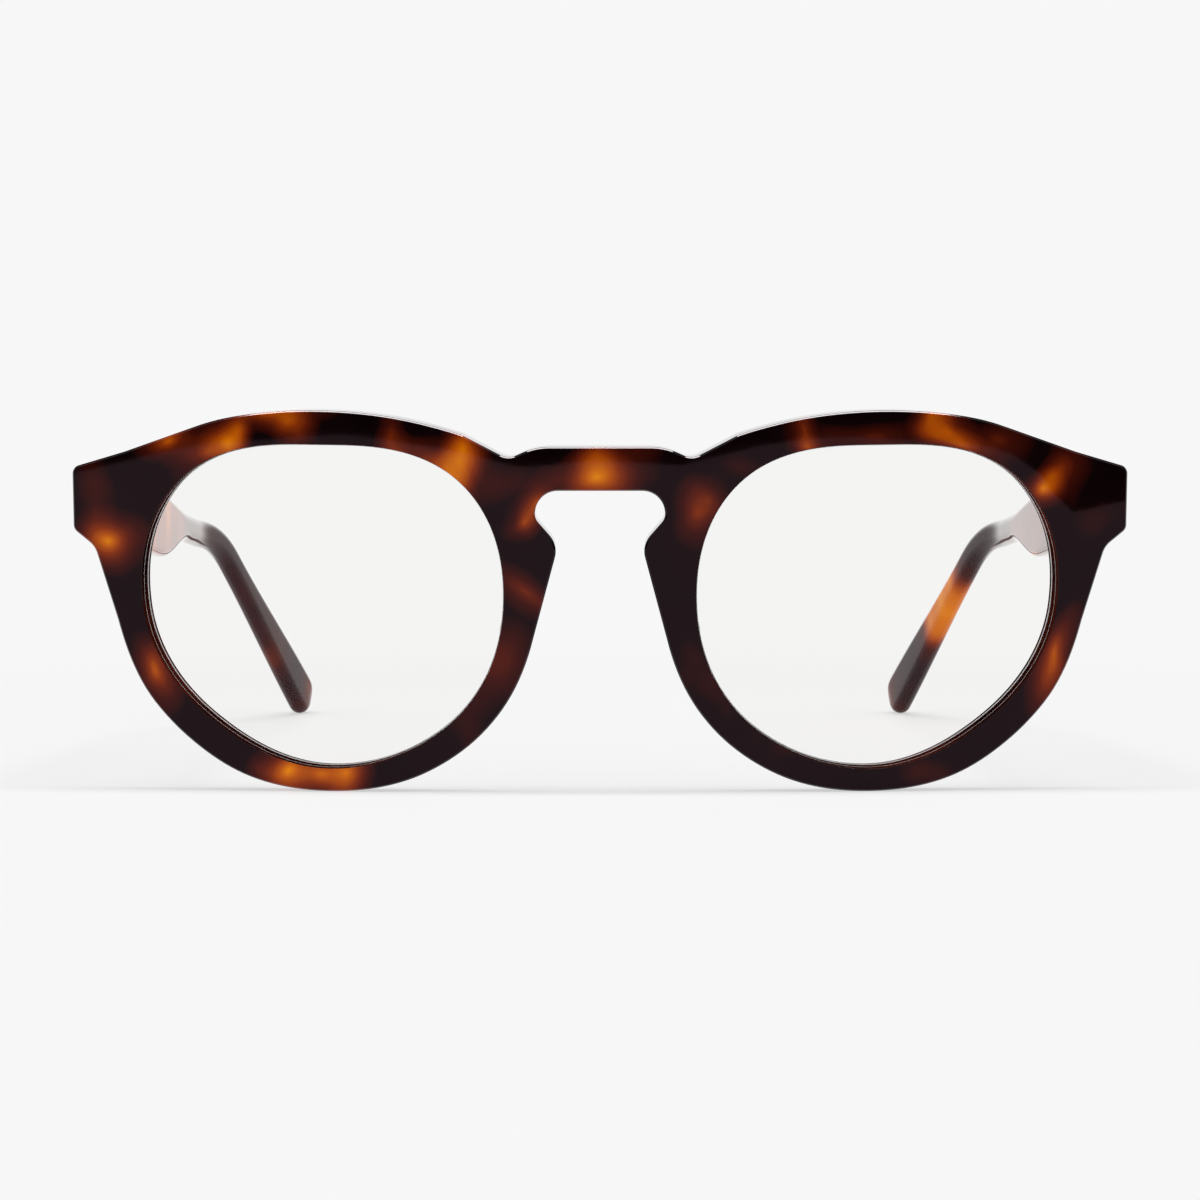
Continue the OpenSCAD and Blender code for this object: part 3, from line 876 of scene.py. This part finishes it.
far_off = plain.node(
    "ShaderNodeEmission", {}, {"Color": (backdrop, backdrop, backdrop, 1), "Strength": 1.0}
)
plain.surface(plain.node("ShaderNodeMixShader", {}, {0: fade, 1: near, 2: far_off}))
table.data.materials.append(plain.holder)

# the camera sees an even backdrop, and the object the room: dark, bright behind and high in front
scene = bpy.context.scene
scene.world = bpy.data.worlds.new("room")
room = Finish("room", scene.world)
way = room.node("ShaderNodeTexCoord", {}, {}, "Generated")
back = room.node("ShaderNodeSeparateXYZ", {}, {0: way}, "Y")
up = room.node("ShaderNodeSeparateXYZ", {}, {0: way}, "Z")
dark_room = 0.04
bright_behind = 0.9
bright_before = 1.0
behind = eased(back, 0.05, 0.35)
low_down = eased(up, 0.55, 0.35)
before = eased(back, 0.0, -0.3)
above = eased(up, 0.22, 0.42)
level = dark_room + bright_behind * (behind * low_down) + bright_before * (before * above)
seen = room.node("ShaderNodeLightPath", {}, {}, "Is Camera Ray")
strength = level + seen * (backdrop - level)
lit = room.node("ShaderNodeBackground", {}, {"Color": (1, 1, 1, 1), "Strength": strength})
room.surface(lit, "ShaderNodeOutputWorld")

# the long overhead lamp
strip = bpy.data.lights.new("strip", "AREA")
strip.shape = "RECTANGLE"
strip.size = 1.0
strip.size_y = 0.18
strip.energy = 8.5
lamp = bpy.data.objects.new("strip", strip)
scene.collection.objects.link(lamp)
lamp.location = (0, -0.14, 1.2)
lamp.rotation_euler = Vector((0, 0.1, -1.2)).to_track_quat("-Z", "Y").to_euler()

# the camera stands before the front and looks slightly down, so that in the photo's pixels the
# horizon lies this far over its middle, against the focal length
camera_away = 0.4
camera_up = 0.04053
look_down = atan(111 / 3005.6)
camera_data = bpy.data.cameras.new("camera")
camera_data.lens = 90.17
camera_data.sensor_width = 36
camera = bpy.data.objects.new("camera", camera_data)
scene.collection.objects.link(camera)
camera.location = (0, -camera_away - middle_y / 1000, camera_up)
camera.rotation_euler = (pi / 2 - look_down, 0, 0)
scene.camera = camera
scene.view_settings.view_transform = "Standard"
